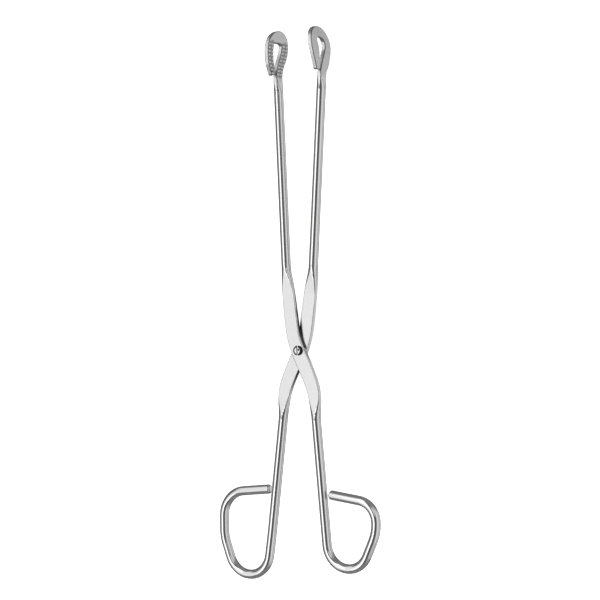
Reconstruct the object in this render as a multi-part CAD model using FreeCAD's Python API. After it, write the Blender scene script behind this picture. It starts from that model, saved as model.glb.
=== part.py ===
import FreeCAD, Part
import math
import os
from FreeCAD import Vector

# Grasping forceps of bent and forged steel rod: two crossed arms on one screw.
# The part lies flat. +Z is the screw axis, +Y runs to the jaws, and the origin is
# on the screw axis at the back of the lap. Lengths in mm, angles in degrees.

# Rod
rod_diameter = 4.8
rod_radius = rod_diameter / 2

# Line midway between the arms, seen from the screw axis
mid_line_x = -0.6

# Lap, where each rod is forged to a half-height flat
lap_gap = 0.04
lap_edge_round = 0.4
lap_thickness = rod_radius - lap_gap / 2
lap_plane_z = rod_radius

# Stations of the lap from the jaw side to the ring side:
# height above the screw, distance to the mid line, width
lap_stations = (
    (28.5, 5.75, 6.8),
    (22.5, 5.0, 7.2),
    (13.0, 3.7, 7.5),
    (4.2, 1.85, 7.3),
    (-4.5, -2.3, 7.7),
    (-12.0, -6.0, 7.5),
    (-17.0, -8.2, 7.4),
    (-22.0, -9.6, 6.7),
)

# Necks, where the flats grow back into round rod
upper_neck_length = 15.0
lower_neck_length = 13.0

# Upper rods
upper_rod_foot = 5.95
upper_rod_angle = 3.0

# Lower rods
lower_rod_foot = 6.2
lower_rod_angle = 6.1

# Screw
screw_diameter = 3.2
screw_clearance = 0.05
screw_seat_gap = 0.03
screw_head_diameter = 5.1
screw_head_height = 0.95
screw_head_round = 0.45
screw_slot_width = 0.8
screw_slot_depth = 0.45
screw_slot_angle = 4.0

# Jaw loops of flattened rod
front_jaw_root_height = 138.0
rear_jaw_root_height = 138.9
loop_length = 24.0
loop_width = 18.8
strand_thickness = 2.4
strand_edge_round = 0.45
free_end_round = 1.1
loop_curl_radius = 92.0
jaw_neck_length = 8.0

# Stations of each loop's strand from the rod round to the free end, which differ a little
# because the loops are forged by hand: across in loop widths, along in loop lengths,
# width of the strand in mm
front_loop_stations = (
    (0.000, 0.000, 5.6),
    (-0.025, 0.161, 5.6),
    (-0.112, 0.344, 5.8),
    (-0.213, 0.560, 6.0),
    (-0.160, 0.780, 5.6),
    (0.110, 0.861, 6.2),
    (0.395, 0.780, 5.3),
    (0.455, 0.570, 5.3),
    (0.398, 0.320, 5.0),
    (0.258, 0.062, 4.2),
)
rear_loop_stations = (
    (0.000, 0.000, 5.6),
    (-0.062, 0.161, 6.2),
    (-0.155, 0.344, 5.9),
    (-0.240, 0.560, 5.2),
    (-0.160, 0.755, 5.0),
    (0.150, 0.858, 5.4),
    (0.385, 0.770, 5.3),
    (0.400, 0.570, 6.6),
    (0.332, 0.320, 5.3),
    (0.245, 0.062, 3.4),
)

# Grip teeth: cross grooves and one groove along each strand
tooth_pitch = 1.85
tooth_groove_width = 0.95
tooth_groove_depth = 0.55
tooth_first = 1.1
tooth_rows_length = 18.0
lengthwise_groove_width = 0.7
lengthwise_groove_depth = 0.35

# Finger rings: corners of the bent rod as distance from the mid line, height, bend radius
front_ring_corners = (
    (17.4, -107.8, 12.1),
    (36.3, -107.8, 12.1),
    (45.0, -87.8, 20.0),
    (43.6, -74.35, 10.5),
)
front_bar_end = (18.0, -71.7)
rear_ring_corners = (
    (16.7, -93.5, 80.0),
    (19.8, -115.9, 12.6),
    (39.6, -115.9, 12.6),
    (46.6, -97.5, 22.0),
    (46.9, -74.6, 13.5),
)
rear_bar_end = (17.7, -71.1)
bar_end_round = 1.1


def plan(side, x, y, z=0.0):
    """Point of an arm whose jaw is on the given side, from its mid-line distance."""
    return Vector(mid_line_x + side * x, y, lap_plane_z + z)


def interpolate(points, start_along=None):
    curve = Part.BSplineCurve()
    if start_along:
        end_along = (points[-1] - points[-2]).normalize()
        curve.interpolate(Points=points, InitialTangent=start_along, FinalTangent=end_along)
    else:
        curve.interpolate(points)
    return curve


def spine_and_edges(points, widths, across, start_along=None):
    """Curve through the points, and its two edges at half the widths."""
    spine = interpolate(points, start_along)
    left = []
    right = []
    for point, width in zip(points, widths):
        tangent = spine.tangent(spine.parameter(point))[0]
        normal = across.cross(tangent).normalize()
        left.append(point + normal * (width / 2))
        right.append(point - normal * (width / 2))
    return spine, interpolate(left, start_along), interpolate(right, start_along)


def strip(left, right):
    """Flat face between two edge curves, closed by straight ends."""
    start = Part.makeLine(right.StartPoint, left.StartPoint)
    end = Part.makeLine(left.EndPoint, right.EndPoint)
    return Part.Face(Part.Wire([start, left.toShape(), end, right.toShape()]))


def section(center, along, up, width, height, corner):
    """Closed outline across the path: four flats and four corners, round when all is corner."""
    side_axis = along.cross(up).normalize()
    half_w = width / 2
    half_h = height / 2
    corner = min(corner, half_w, half_h)
    round_bar = corner > min(half_w, half_h) - 1e-6
    flat = math.radians(8.0) if round_bar else 0.0
    marks = []
    for turn in range(4):
        sign_w = (1, -1, -1, 1)[turn]
        sign_h = (1, 1, -1, -1)[turn]
        origin = (sign_w * (half_w - corner), sign_h * (half_h - corner))
        start = math.radians(90.0 * turn) + flat
        stop = math.radians(90.0 * (turn + 1)) - flat
        middle = (start + stop) / 2
        arc = []
        for angle in (start, middle, stop):
            across = origin[0] + corner * math.cos(angle)
            rise = origin[1] + corner * math.sin(angle)
            arc.append(center + side_axis * across + up * rise)
        marks.append(arc)
    edges = []
    for turn in range(4):
        arc = marks[turn]
        following = marks[(turn + 1) % 4]
        edges.append(Part.Arc(arc[0], arc[1], arc[2]).toShape())
        if round_bar:
            angle = math.radians(90.0 * (turn + 1))
            crown = side_axis * math.cos(angle) * half_w + up * math.sin(angle) * half_h
            edges.append(Part.Arc(arc[2], center + crown, following[0]).toShape())
        else:
            edges.append(Part.makeLine(arc[2], following[0]))
    return Part.Wire(edges)


def hermite(start, start_along, end, end_along, reach, share):
    """Point and direction on a smooth run between two ends."""
    s = share
    point = (
        start * (2 * s**3 - 3 * s**2 + 1)
        + start_along * (reach * (s**3 - 2 * s**2 + s))
        + end * (3 * s**2 - 2 * s**3)
        + end_along * (reach * (s**3 - s**2))
    )
    along = (
        start * (6 * s**2 - 6 * s)
        + start_along * (reach * (3 * s**2 - 4 * s + 1))
        + end * (6 * s - 6 * s**2)
        + end_along * (reach * (3 * s**2 - 2 * s))
    )
    return point, along.normalize()


def end_wire(body, point):
    """Outline of the flat end face at a point, so that what joins it fits exactly."""
    face = min(body.Faces, key=lambda each: (each.CenterOfMass - point).Length)
    return face.OuterWire


def neck(first_wire, flat_end, flat_along, rod_end, rod_along, flat_width, flat_height, corner):
    """Smooth change from the end of a forged flat to round rod."""
    up = Vector(0, 0, 1)
    reach = (rod_end - flat_end).Length
    wires = [first_wire]
    for share in (0.15, 0.32, 0.5, 0.68, 0.85, 1.0):
        blend = share * share * (3 - 2 * share)
        point, along = hermite(flat_end, flat_along, rod_end, rod_along, reach, share)
        width = flat_width + (rod_diameter - flat_width) * blend
        height = flat_height + (rod_diameter - flat_height) * blend
        rounding = corner + (rod_radius - corner) * blend
        wires.append(section(point, along, up, width, height, rounding))
    return Part.makeLoft(wires, True, False)


def rounded_path(points, radii):
    """Wire of straight runs with an arc of the given radius at each inner corner."""
    edges = []
    last = points[0]
    for before, corner, after, radius in zip(points, points[1:], points[2:], radii):
        back = (before - corner).normalize()
        ahead = (after - corner).normalize()
        half = back.getAngle(ahead) / 2
        reach = radius / math.tan(half)
        start = corner + back * reach
        stop = corner + ahead * reach
        inward = (back + ahead).normalize()
        middle = corner + inward * (radius / math.sin(half) - radius)
        edges.append(Part.makeLine(last, start))
        edges.append(Part.Arc(start, middle, stop).toShape())
        last = stop
    edges.append(Part.makeLine(last, points[-1]))
    return Part.Wire(edges)


def rod_along(path, direction):
    """Round rod swept along a path from its start."""
    start = path.Vertexes[0].Point
    circle = Part.Wire([Part.makeCircle(rod_radius, start, direction)])
    return path.makePipeShell([circle], True, True)


def lap_flat(side, layer):
    """Forged flat of one arm, with its spine."""
    points = [plan(side, x, y) for y, x, width in lap_stations]
    widths = [width for y, x, width in lap_stations]
    spine, left, right = spine_and_edges(points, widths, Vector(0, 0, 1))
    low = lap_gap / 2 if layer > 0 else -lap_gap / 2 - lap_thickness
    face = strip(left, right)
    face.translate(Vector(0, 0, low))
    flat = face.extrude(Vector(0, 0, lap_thickness))
    long_edges = [edge for edge in flat.Edges if edge.Length > 2 * rod_diameter]
    return flat.makeFillet(lap_edge_round, long_edges), spine


def upper_rod_point(side, y):
    return plan(side, upper_rod_foot + y * math.tan(math.radians(upper_rod_angle)), y)


def lower_rod_point(side, y):
    return plan(side, -lower_rod_foot + y * math.tan(math.radians(lower_rod_angle)), y)


def lap_neck(flat, layer, end, end_along, width, rod_start, rod_along):
    """Neck from one end of the lap flat to the round rod beyond it."""
    center = end + Vector(0, 0, layer * (lap_gap + lap_thickness) / 2)
    wire = end_wire(flat, center)
    return neck(wire, center, end_along, rod_start, rod_along, width, lap_thickness, lap_edge_round)


def ring_points(side, start, corners, bar_end):
    """Corners of the lower rod, from its neck round the finger ring to the bar's end."""
    bends = [plan(side, -x, y) for x, y, radius in corners]
    return [start] + bends + [plan(side, -bar_end[0], bar_end[1])]


def finger_ring(points, radii):
    """Lower rod, bent into the finger ring and back to a bar that ends by the rod."""
    ring = rod_along(rounded_path(points, radii), points[1] - points[0])
    bar_face = max(ring.Faces, key=lambda face: -(face.CenterOfMass - points[-1]).Length)
    return ring.makeFillet(bar_end_round, bar_face.Edges)


def curl_point(along, inward, across):
    """Point of the curled jaw from its distance along, towards the other jaw, and across."""
    angle = along / loop_curl_radius
    radius = loop_curl_radius - inward
    return Vector(loop_curl_radius - radius * math.cos(angle), radius * math.sin(angle), across)


def curl_arc(start, end, inward, across):
    marks = [curl_point(place, inward, across) for place in (start, (start + end) / 2, end)]
    return Part.Arc(marks[0], marks[1], marks[2])


def curled_band(low, high, start, end, depth):
    """Layer of the curled jaw between two distances from its middle, over the full width."""
    outer = curl_arc(start, end, low, -depth)
    inner = curl_arc(end, start, high, -depth)
    tip = Part.makeLine(outer.EndPoint, inner.StartPoint)
    root = Part.makeLine(inner.EndPoint, outer.StartPoint)
    face = Part.Face(Part.Wire([outer.toShape(), tip, inner.toShape(), root]))
    return face.extrude(Vector(0, 0, 2 * depth))


def loop_strip(stations, width_of, reach):
    """Outline of the loop seen square on, given body towards both sides of the jaw."""
    points = [Vector(-reach, along * loop_length, across * loop_width) for across, along, width in stations]
    widths = [width_of(width) for across, along, width in stations]
    spine, left, right = spine_and_edges(points, widths, Vector(1, 0, 0), Vector(0, 1, 0))
    return strip(left, right).extrude(Vector(2 * reach, 0, 0)), spine


def tooth_grooves(depth):
    """V grooves across the gripping face, one tooth pitch apart."""
    face_offset = strand_thickness / 2
    half = tooth_groove_width / 2
    grooves = []
    for row in range(int(tooth_rows_length / tooth_pitch) + 1):
        place = tooth_first + row * tooth_pitch
        bottom = curl_point(place, face_offset - tooth_groove_depth, -depth)
        low = curl_point(place - 2 * half, face_offset + tooth_groove_depth, -depth)
        high = curl_point(place + 2 * half, face_offset + tooth_groove_depth, -depth)
        outline = Part.makePolygon([bottom, low, high, bottom])
        grooves.append(Part.Face(outline).extrude(Vector(0, 0, 2 * depth)))
    return Part.makeCompound(grooves)


def lengthwise_grooves(stations, depth, reach):
    """Shallow groove along the middle of both strands, left out over the smooth tip."""
    face_offset = strand_thickness / 2
    narrow, spine = loop_strip(stations, lambda width: lengthwise_groove_width, reach)
    top = tooth_first + tooth_rows_length
    low = face_offset - lengthwise_groove_depth
    high = face_offset + lengthwise_groove_depth
    return narrow.common(curled_band(low, high, -tooth_first, top, depth))


def jaw_loop(stations):
    """Loop of flattened rod in its own frame: +Y along the rod, +X towards the other jaw."""
    half = strand_thickness / 2
    outline, spine = loop_strip(stations, lambda width: width, loop_length)
    band = curled_band(-half, half, 0, 1.2 * loop_length, loop_width)
    loop = outline.common(band)
    root = half / loop_curl_radius * loop_length
    through = [edge for edge in loop.Edges if edge.BoundBox.XLength > 0.9 * edge.Length]
    corners = [edge for edge in through if edge.BoundBox.YMin > root and edge.CenterOfMass.z > 0]
    loop = loop.makeFillet(free_end_round, corners)
    rims = [edge for edge in loop.Edges if edge.BoundBox.XLength < 0.9 * edge.Length]
    rims = [edge for edge in rims if edge.BoundBox.YMax > root]
    return loop.makeFillet(strand_edge_round, rims)


def jaw(side, root_height, stations):
    """Toothed loop and its round neck, placed at the top of the arm's upper rod."""
    reach = loop_length
    loop = jaw_loop(stations)
    root_wire = end_wire(loop, Vector(0, 0, 0))
    start = Vector(0, 0, 0)
    down = Vector(0, -1, 0)
    width = stations[0][2]
    rod_neck = neck(
        root_wire, start, down, down * jaw_neck_length, down, strand_thickness, width, strand_edge_round
    )
    grooves = [tooth_grooves(loop_width), lengthwise_grooves(stations, loop_width, reach)]
    loop = loop.fuse(rod_neck).cut(grooves)
    if side > 0:
        loop = loop.mirror(Vector(0, 0, 0), Vector(1, 0, 0))
    root = upper_rod_point(side, root_height)
    loop.rotate(Vector(0, 0, 0), Vector(0, 0, 1), -side * upper_rod_angle)
    loop.translate(root)
    down = (upper_rod_point(side, 0) - root).normalize()
    return loop, root + down * jaw_neck_length


def arm(side, layer, jaw_root, loop_stations, ring_corners, bar_end):
    """One arm in one piece: jaw loop, rod, lap flat, rod and finger ring."""
    flat, spine = lap_flat(side, layer)
    grip, rod_end = jaw(side, jaw_root, loop_stations)
    top = spine.StartPoint
    top_along = spine.tangent(spine.FirstParameter)[0] * -1
    rod_start = upper_rod_point(side, top.y + upper_neck_length)
    rod_run = rod_end - rod_start
    rod = Part.makeCylinder(rod_radius, rod_run.Length, rod_start, rod_run)
    upper = lap_neck(flat, layer, top, top_along, lap_stations[0][2], rod_start, rod_run.normalize())
    bottom = spine.EndPoint
    bottom_along = spine.tangent(spine.LastParameter)[0]
    ring_start = lower_rod_point(side, bottom.y - lower_neck_length)
    points = ring_points(side, ring_start, ring_corners, bar_end)
    ring = finger_ring(points, [radius for x, y, radius in ring_corners])
    ring_along = (points[1] - points[0]).normalize()
    lower = lap_neck(flat, layer, bottom, bottom_along, lap_stations[-1][2], ring_start, ring_along)
    return flat.fuse([upper, lower, grip, rod, ring])


def upright(radius, low, high):
    return Part.makeCylinder(radius, high - low, Vector(0, 0, low))


def front_arm():
    """Arm that crosses in front, from the left jaw to the right ring, with a running bore."""
    body = arm(-1, 1, front_jaw_root_height, front_loop_stations, front_ring_corners, front_bar_end)
    return body.cut(upright(screw_diameter / 2 + screw_clearance, 0, 2 * rod_diameter))


def rear_arm():
    """Arm that crosses behind, from the right jaw to the left ring, with the screw's seat."""
    body = arm(1, -1, rear_jaw_root_height, rear_loop_stations, rear_ring_corners, rear_bar_end)
    return body.cut(upright(screw_diameter / 2, -rod_diameter, 2 * rod_diameter))


def pivot_screw():
    """Slotted round-edged head over the front flat, and a shank flush with the rear flat."""
    seat = rod_diameter + screw_seat_gap
    top = seat + screw_head_height
    shank = upright(screw_diameter / 2, 0, seat)
    head = upright(screw_head_diameter / 2, seat, top)
    rim = [edge for edge in head.Edges if edge.BoundBox.ZMin > (seat + top) / 2]
    head = head.makeFillet(screw_head_round, rim)
    slot_size = Vector(screw_slot_width, 2 * screw_head_diameter, 2 * screw_slot_depth)
    corner = Vector(-slot_size.x / 2, -slot_size.y / 2, top - screw_slot_depth)
    slot = Part.makeBox(slot_size.x, slot_size.y, slot_size.z, corner)
    slot.rotate(Vector(0, 0, 0), Vector(0, 0, 1), screw_slot_angle)
    return shank.fuse(head).cut(slot)


pieces = {
    "front_arm": front_arm,
    "rear_arm": rear_arm,
    "pivot_screw": pivot_screw,
}

os.makedirs("parts", exist_ok=True)
for name, make in pieces.items():
    solid = make().removeSplitter()
    solid.exportStep("parts/" + name + ".step")
    box = solid.BoundBox
    print(name, solid.isValid(), len(solid.Solids), len(solid.Faces), round(solid.Volume, 1))
    print("  low", round(box.XMin, 2), round(box.YMin, 2), round(box.ZMin, 2))
    print("  high", round(box.XMax, 2), round(box.YMax, 2), round(box.ZMax, 2))
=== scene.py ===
import math

import bpy
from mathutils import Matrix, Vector


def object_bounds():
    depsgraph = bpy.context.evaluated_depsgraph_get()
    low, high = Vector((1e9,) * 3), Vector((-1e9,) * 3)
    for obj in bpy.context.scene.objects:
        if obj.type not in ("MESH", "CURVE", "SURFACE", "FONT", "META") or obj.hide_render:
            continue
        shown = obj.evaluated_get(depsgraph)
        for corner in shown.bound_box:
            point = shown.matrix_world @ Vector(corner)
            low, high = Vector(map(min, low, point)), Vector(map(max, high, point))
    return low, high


# Long grasping forceps of bent stainless steel rod, lying flat on a white table.
# Lengths are in metres. +Z is the screw axis and +Y runs to the jaws.
# A soft range has four stops: where it begins, is full, is still full and ends.

mm = 0.001

# Camera: turned 33 degrees to the jaw side of the screw axis, 0.8 m from the object
camera_turn = math.radians(33.0)
camera_distance = 0.800
sensor_width = 36.0
photo_scale = 0.505 * mm
photo_width = 600
camera_target = Vector((-0.42, 25.455, 2.4)) * mm

# Table
table_size = 6.0
table_gap = 0.1 * mm
table_glow = 0.9

# Strip light: angles in degrees from the screw axis towards +X and from there towards +Y
strip_turn = -16.5
strip_rise = 4.0
strip_distance = 1.5
strip_size = (0.6, 3.2)
strip_radiance = 0.88

# Greys of the tent: angle from the screw axis towards +X, and brightness
tent_greys = (
    (-179.0, 0.16),
    (-60.0, 0.18),
    (-8.0, 0.16),
    (12.0, 0.12),
    (22.0, 0.1),
    (38.0, 0.1),
    (47.0, 0.35),
    (56.0, 0.75),
    (68.0, 1.0),
    (84.0, 0.95),
    (96.0, 0.74),
    (110.0, 0.56),
    (128.0, 0.4),
    (150.0, 0.16),
    (179.0, 0.16),
)

# The tent's two ends, towards the jaws and towards the rings
tent_end_grey = 0.26
tent_end_stops = (0.55, 0.92, 1.1, 1.2)

# White cards in the tent: soft ranges of the X, Y and Z of the direction that is
# looked in, and brightness
cards = (
    ((-0.78, -0.68, -0.14, -0.08), (-0.64, -0.5, 0.6, 0.8), (0.1, 0.18, 1.1, 1.2), 0.92),
    ((0.3, 0.36, 0.74, 0.8), (-0.7, -0.6, 0.4, 0.52), (-1.2, -1.1, -0.58, -0.5), 0.6),
    ((0.2, 0.26, 0.5, 0.6), (0.18, 0.26, 0.56, 0.66), (0.5, 0.6, 1.1, 1.2), 0.9),
)

# Jaws: where the upper rods stand and how the loops curl
mid_line_x = -0.6 * mm
upper_rod_foot = 5.95 * mm
upper_rod_lean = math.radians(3.0)
loop_curl_radius = 92.0 * mm
strand_thickness = 2.4 * mm
front_jaw_root = 138.0 * mm
rear_jaw_root = 138.9 * mm
jaw_top = 170.0 * mm

# Jaws: soft ranges of the way that a strand's edge, free end and groove face, for painted shade
edge_sideways = (0.25, 0.4, 0.85, 0.94)
edge_upward = (0.25, 0.4, 1.1, 1.2)
free_end_facing = (-1.2, -1.1, -0.75, -0.5)
free_end_height = (8 * mm, 9 * mm, 20 * mm, 21 * mm)
groove_facing = (0.1, 0.25, 1.1, 1.2)

# Lap: soft ranges of the way that the shoulder's wall faces, and of the painted shade along Y
shoulder_facing = (0.5, 0.7, 1.1, 1.2)
lap_bottom = (-9 * mm, -8 * mm)
shade_fade = 0.4 * mm
front_shade_along = (0.5 * mm, 1.5 * mm, 22 * mm, 38 * mm)
front_shade_top = 3.9 * mm
rear_shade_along = (-27 * mm, -8 * mm, -4 * mm, -3 * mm)
rear_shade_top = 2.6 * mm

# Screw head: painted shade round the rim and a painted shadow beside the slot
screw_rim_shade_stops = (1.5 * mm, 1.75 * mm, 5 * mm, 6 * mm)
screw_slot_stops = (-0.42 * mm, -0.3 * mm, 0.3 * mm, 0.42 * mm)
screw_slot_shadow_place = (0.7 * mm, 0.4 * mm, 0.0)
screw_slot_shadow_stops = (-2 * mm, -1 * mm, 0.4 * mm, 0.9 * mm)


def linear(hex_colour):
    """Linear colour of an sRGB hex value."""
    channels = []
    for place in (0, 2, 4):
        value = int(hex_colour[place:place + 2], 16) / 255
        if value <= 0.04045:
            channels.append(value / 12.92)
        else:
            channels.append(((value + 0.055) / 1.055) ** 2.4)
    return (*channels, 1.0)


def add(tree, kind, settings):
    """Adds a node. A setting is one of its properties or sockets; a socket takes a value or a link."""
    node = tree.nodes.new(kind)
    for name, value in settings.items():
        if isinstance(value, bpy.types.NodeSocket):
            tree.links.new(value, node.inputs[name])
        elif isinstance(name, str) and name not in node.inputs:
            setattr(node, name, value)
        else:
            node.inputs[name].default_value = value
    return node


def soft_range(tree, value, stops, strength):
    """Strength inside a range of a value and 0 outside it, with a soft step at each end."""
    begin, full, still_full, end = stops
    result = strength
    for outer, inner in ((begin, full), (end, still_full)):
        step = add(
            tree,
            "ShaderNodeMapRange",
            {
                "interpolation_type": "SMOOTHSTEP",
                "From Min": outer,
                "From Max": inner,
                "To Max": result,
                "Value": value,
            },
        )
        result = step.outputs["Result"]
    return result


def new_material(name):
    """An empty material and its node tree."""
    material = bpy.data.materials.new(name)
    material.use_nodes = True
    material.node_tree.nodes.clear()
    return material, material.node_tree


def loop_center(side, root):
    """Axis that a jaw's loop is curled about, for the arm whose jaw is on the given side."""
    root_x = mid_line_x + side * (upper_rod_foot + root * math.tan(upper_rod_lean))
    reach_x = loop_curl_radius * math.cos(upper_rod_lean)
    reach_y = loop_curl_radius * math.sin(upper_rod_lean)
    return Vector((root_x - side * reach_x, root + reach_y, 0.0))


def jaw_edge_shade(tree, axes, bearing, jaw, root):
    """Strands' rounded edges and free ends, with painted shade and dark painted reflections."""
    side = add(tree, "ShaderNodeMath", {"operation": "ABSOLUTE", 0: bearing.outputs["X"]})
    edge = soft_range(tree, side.outputs[0], edge_sideways, jaw)
    edge = soft_range(tree, bearing.outputs["Z"], edge_upward, edge)
    along = (root, root + 0.5 * mm, root + 4.5 * mm, root + 5 * mm)
    end = soft_range(tree, bearing.outputs["Y"], free_end_facing, 1.0)
    end = soft_range(tree, axes.outputs["Y"], along, end)
    end = soft_range(tree, axes.outputs["Z"], free_end_height, end)
    both = add(tree, "ShaderNodeMath", {"operation": "MAXIMUM", 0: edge, 1: end})
    return both.outputs[0]


def tooth_grooves(tree, place, axes, center, root):
    """Bottoms and walls of the tooth grooves, where shade is painted."""
    flat = add(
        tree,
        "ShaderNodeVectorMath",
        {"operation": "MULTIPLY", 0: place.outputs["Object"], 1: (1.0, 1.0, 0.0)},
    )
    inward = add(
        tree,
        "ShaderNodeVectorMath",
        {"operation": "SUBTRACT", 0: center, 1: flat.outputs["Vector"]},
    )
    length = add(tree, "ShaderNodeVectorMath", {"operation": "LENGTH", 0: inward.outputs["Vector"]})
    unit = add(tree, "ShaderNodeVectorMath", {"operation": "NORMALIZE", 0: inward.outputs["Vector"]})
    facing = add(
        tree,
        "ShaderNodeVectorMath",
        {"operation": "DOT_PRODUCT", 0: unit.outputs["Vector"], 1: place.outputs["Normal"]},
    )
    face = loop_curl_radius - strand_thickness / 2
    deep = (face + 0.05 * mm, face + 0.25 * mm, loop_curl_radius, loop_curl_radius + 0.1 * mm)
    along = (root, root + 0.4 * mm, jaw_top, jaw_top + mm)
    mask = soft_range(tree, length.outputs["Value"], deep, 1.0)
    mask = soft_range(tree, facing.outputs["Value"], groove_facing, mask)
    return soft_range(tree, axes.outputs["Y"], along, mask)


def lap_shoulder_shade(tree, axes, bearing, along, top):
    """Foot of the upright wall beside the other arm, with near-black painted shade in the gap between
    the arms.
    """
    mask = soft_range(tree, bearing.outputs["X"], shoulder_facing, 1.0)
    mask = soft_range(tree, axes.outputs["Z"], (*lap_bottom, top - shade_fade, top), mask)
    return soft_range(tree, axes.outputs["Y"], along, mask)


def satin_stainless_steel(name, center, root, shade_along, shade_top):
    """Stainless steel, ground by belt and buffed: bright, with matt jaws and painted shade in the
    tooth grooves, on the jaws' edges and at the lap shoulder.
    """
    material, tree = new_material(name)
    place = add(tree, "ShaderNodeTexCoord", {})
    axes = add(tree, "ShaderNodeSeparateXYZ", {"Vector": place.outputs["Object"]})
    bearing = add(tree, "ShaderNodeSeparateXYZ", {"Vector": place.outputs["Normal"]})
    jaw = soft_range(tree, axes.outputs["Y"], (root - 3 * mm, root, jaw_top, jaw_top + mm), 1.0)
    groove_shade = tooth_grooves(tree, place, axes, center, root)
    shoulder = lap_shoulder_shade(tree, axes, bearing, shade_along, shade_top)

    # Blasted jaws: soft light and dark spots about 1 mm wide
    spots = add(
        tree,
        "ShaderNodeTexNoise",
        {"Scale": 1000.0, "Detail": 3.0, "Vector": place.outputs["Object"]},
    )
    matt = add(
        tree,
        "ShaderNodeMix",
        {
            "data_type": "RGBA",
            "Factor": spots.outputs["Fac"],
            6: linear("b0b0b0"),
            7: linear("e0e0e0"),
        },
    )
    colour = linear("d9d9d9")
    layers = (
        (matt.outputs[2], jaw),
        # Painted shade in the tooth grooves
        (linear("c0c0c0"), groove_shade),
        # Painted shade and dark painted reflections on the jaws' rounded edges and free ends
        (linear("565656"), jaw_edge_shade(tree, axes, bearing, jaw, root)),
        # Near-black painted shade at the foot of the lap shoulder, between the arms
        (linear("1c1c1c"), shoulder),
    )
    for tone, mask in layers:
        layer = add(
            tree, "ShaderNodeMix", {"data_type": "RGBA", "Factor": mask, 6: colour, 7: tone}
        )
        colour = layer.outputs[2]

    # Belt marks, 0.4 mm apart across the rod and 6 mm long
    grain = add(
        tree,
        "ShaderNodeMapping",
        {"Scale": (2500.0, 160.0, 2500.0), "Vector": place.outputs["Object"]},
    )
    marks = add(
        tree, "ShaderNodeTexNoise", {"Scale": 1.0, "Detail": 4.0, "Vector": grain.outputs["Vector"]}
    )
    bump = add(
        tree,
        "ShaderNodeBump",
        {"Strength": 0.04, "Distance": 0.02 * mm, "Height": marks.outputs["Fac"]},
    )
    polish = add(
        tree,
        "ShaderNodeMapRange",
        {"To Min": 0.1, "To Max": 0.22, "Value": marks.outputs["Fac"]},
    )
    rough = add(
        tree,
        "ShaderNodeMapRange",
        {"To Min": polish.outputs["Result"], "To Max": 0.3, "Value": jaw},
    )
    shader = add(
        tree,
        "ShaderNodeBsdfPrincipled",
        {
            "Metallic": 1.0,
            "Base Color": colour,
            "Roughness": rough.outputs["Result"],
            "Normal": bump.outputs["Normal"],
        },
    )
    add(tree, "ShaderNodeOutputMaterial", {"Surface": shader.outputs["BSDF"]})
    return material


def turned_stainless_steel():
    """Stainless steel turned on a lathe: fine rings, painted shade round the rounded rim and a painted
    shadow beside the slot.
    """
    material, tree = new_material("turned_stainless_steel")
    place = add(tree, "ShaderNodeTexCoord", {})
    axes = add(tree, "ShaderNodeSeparateXYZ", {"Vector": place.outputs["Object"]})
    flat = add(
        tree,
        "ShaderNodeVectorMath",
        {"operation": "MULTIPLY", 0: place.outputs["Object"], 1: (1.0, 1.0, 0.0)},
    )

    # Painted shade all round the rim, but for the slot's two ends, and a painted shadow spot beside
    # the slot
    radius = add(tree, "ShaderNodeVectorMath", {"operation": "LENGTH", 0: flat.outputs["Vector"]})
    rim = soft_range(tree, radius.outputs["Value"], screw_rim_shade_stops, 1.0)
    slot = soft_range(tree, axes.outputs["X"], screw_slot_stops, 1.0)
    open_rim = add(tree, "ShaderNodeMapRange", {"To Min": rim, "To Max": 0.0, "Value": slot})
    apart = add(
        tree,
        "ShaderNodeVectorMath",
        {"operation": "DISTANCE", 0: flat.outputs["Vector"], 1: screw_slot_shadow_place},
    )
    slot_shadow = soft_range(tree, apart.outputs["Value"], screw_slot_shadow_stops, 1.0)
    dark = add(
        tree, "ShaderNodeMath", {"operation": "MAXIMUM", 0: open_rim.outputs["Result"], 1: slot_shadow}
    )
    colour = add(
        tree,
        "ShaderNodeMix",
        {
            "data_type": "RGBA",
            "Factor": dark.outputs[0],
            6: linear("d9d9d9"),
            7: linear("262626"),
        },
    )

    # Rings of the turning tool, 0.35 mm apart
    rings = add(
        tree,
        "ShaderNodeTexWave",
        {
            "wave_type": "RINGS",
            "rings_direction": "Z",
            "Scale": 900.0,
            "Vector": place.outputs["Object"],
        },
    )
    bump = add(
        tree,
        "ShaderNodeBump",
        {"Strength": 0.1, "Distance": 0.02 * mm, "Height": rings.outputs["Fac"]},
    )
    shader = add(
        tree,
        "ShaderNodeBsdfPrincipled",
        {
            "Metallic": 1.0,
            "Roughness": 0.2,
            "Base Color": colour.outputs[2],
            "Normal": bump.outputs["Normal"],
        },
    )
    add(tree, "ShaderNodeOutputMaterial", {"Surface": shader.outputs["BSDF"]})
    return material


def finish_node(name, material):
    """Gives a solid its finish."""
    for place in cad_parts[name].material_slots:
        place.material = material


def camera():
    """Camera at the photograph's viewing angle."""
    data = bpy.data.cameras.new("camera")
    data.sensor_width = sensor_width
    data.lens = sensor_width * camera_distance / (photo_scale * photo_width)
    view = bpy.data.objects.new("camera", data)
    bpy.context.scene.collection.objects.link(view)
    back = Vector((math.sin(camera_turn), 0.0, math.cos(camera_turn)))
    view.location = camera_target + back * camera_distance
    view.rotation_euler = (0.0, camera_turn, 0.0)
    bpy.context.scene.camera = view


def strip_softbox():
    """Long flat light over the object, with its length along +Y."""
    turn = math.radians(strip_turn)
    rise = math.radians(strip_rise)
    data = bpy.data.lights.new("strip_softbox", "AREA")
    data.shape = "RECTANGLE"
    data.size, data.size_y = strip_size
    data.energy = strip_radiance * math.pi * strip_size[0] * strip_size[1]
    lamp = bpy.data.objects.new("strip_softbox", data)
    bpy.context.scene.collection.objects.link(lamp)
    toward = Vector(
        (math.sin(turn) * math.cos(rise), math.sin(rise), math.cos(turn) * math.cos(rise))
    )
    lamp.location = camera_target + toward * strip_distance
    lamp.rotation_euler = (-rise, turn, 0.0)


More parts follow.
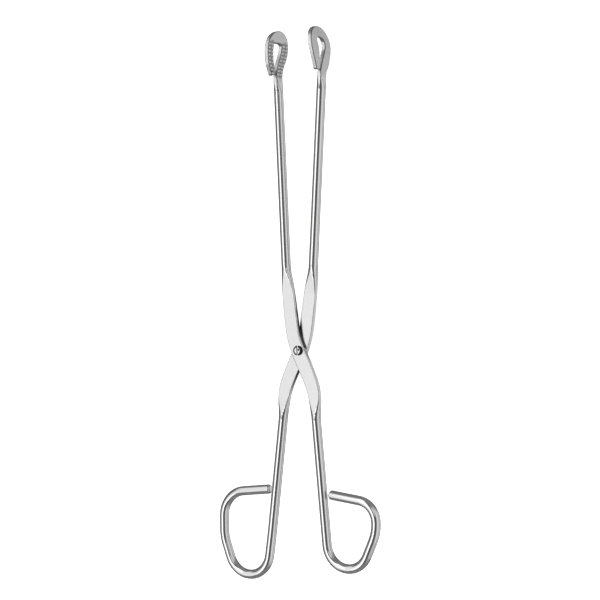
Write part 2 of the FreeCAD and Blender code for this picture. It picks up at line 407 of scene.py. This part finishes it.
def tent_wall(tree, axes):
    """Grey of the tent round the table, by the direction that is looked in."""
    turn = add(
        tree, "ShaderNodeMath", {"operation": "ARCTAN2", 0: axes.outputs["X"], 1: axes.outputs["Z"]}
    )
    share = add(
        tree,
        "ShaderNodeMapRange",
        {"From Min": -math.pi, "From Max": math.pi, "Value": turn.outputs[0]},
    )
    ramp = add(tree, "ShaderNodeValToRGB", {"Fac": share.outputs["Result"]})
    stops = ramp.color_ramp.elements
    stops.remove(stops[-1])
    for angle, grey in tent_greys:
        stop = stops.new(0.5 + angle / 360.0)
        stop.color = (grey, grey, grey, 1.0)
    stops.remove(stops[0])
    side = add(tree, "ShaderNodeMath", {"operation": "ABSOLUTE", 0: axes.outputs["Y"]})
    wall = add(
        tree,
        "ShaderNodeMix",
        {
            "data_type": "RGBA",
            "Factor": soft_range(tree, side.outputs[0], tent_end_stops, 1.0),
            6: ramp.outputs["Color"],
            7: (tent_end_grey, tent_end_grey, tent_end_grey, 1.0),
        },
    )
    return wall.outputs[2]


def studio():
    """White tent with dark gaps, cards and one strip light, so that the steel shows its shape."""
    bpy.context.scene.view_settings.view_transform = "Standard"
    world = bpy.data.worlds.new("studio")
    bpy.context.scene.world = world
    world.use_nodes = True
    tree = world.node_tree
    tree.nodes.clear()
    place = add(tree, "ShaderNodeTexCoord", {})
    axes = add(tree, "ShaderNodeSeparateXYZ", {"Vector": place.outputs["Generated"]})
    light = tent_wall(tree, axes)
    for across, along, out, brightness in cards:
        card = soft_range(tree, axes.outputs["X"], across, brightness)
        card = soft_range(tree, axes.outputs["Y"], along, card)
        card = soft_range(tree, axes.outputs["Z"], out, card)
        total = add(tree, "ShaderNodeVectorMath", {"operation": "ADD", 0: light, 1: card})
        light = total.outputs["Vector"]
    shine = add(tree, "ShaderNodeBackground", {"Color": light})
    add(tree, "ShaderNodeOutputWorld", {"Surface": shine.outputs["Background"]})
    strip_softbox()


def table():
    """White paper under the object, which the steel doesn't mirror."""
    height = cad_box[0].z - table_gap
    bpy.ops.mesh.primitive_plane_add(size=table_size, location=(0.0, 0.0, height))
    top = bpy.context.object
    top.name = "table"
    material, tree = new_material("white_paper")
    shader = add(
        tree,
        "ShaderNodeBsdfPrincipled",
        {
            "Base Color": linear("ffffff"),
            "Roughness": 0.9,
            "Emission Color": linear("ffffff"),
            "Emission Strength": table_glow,
        },
    )
    add(tree, "ShaderNodeOutputMaterial", {"Surface": shader.outputs["BSDF"]})
    top.data.materials.append(material)
    top.visible_glossy = False


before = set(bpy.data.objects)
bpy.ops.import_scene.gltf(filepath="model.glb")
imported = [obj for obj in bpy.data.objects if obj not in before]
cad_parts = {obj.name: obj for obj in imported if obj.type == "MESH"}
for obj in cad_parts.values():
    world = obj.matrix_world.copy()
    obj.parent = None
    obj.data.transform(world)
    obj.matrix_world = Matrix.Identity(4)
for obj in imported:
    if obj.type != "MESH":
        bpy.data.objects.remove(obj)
cad_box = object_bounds()
front_steel = satin_stainless_steel(
    "satin_stainless_steel_front",
    loop_center(-1, front_jaw_root),
    front_jaw_root,
    front_shade_along,
    front_shade_top,
)
rear_steel = satin_stainless_steel(
    "satin_stainless_steel_rear",
    loop_center(1, rear_jaw_root),
    rear_jaw_root,
    rear_shade_along,
    rear_shade_top,
)
finish_node("front_arm", front_steel)
finish_node("rear_arm", rear_steel)
finish_node("pivot_screw", turned_stainless_steel())
camera()
studio()
table()
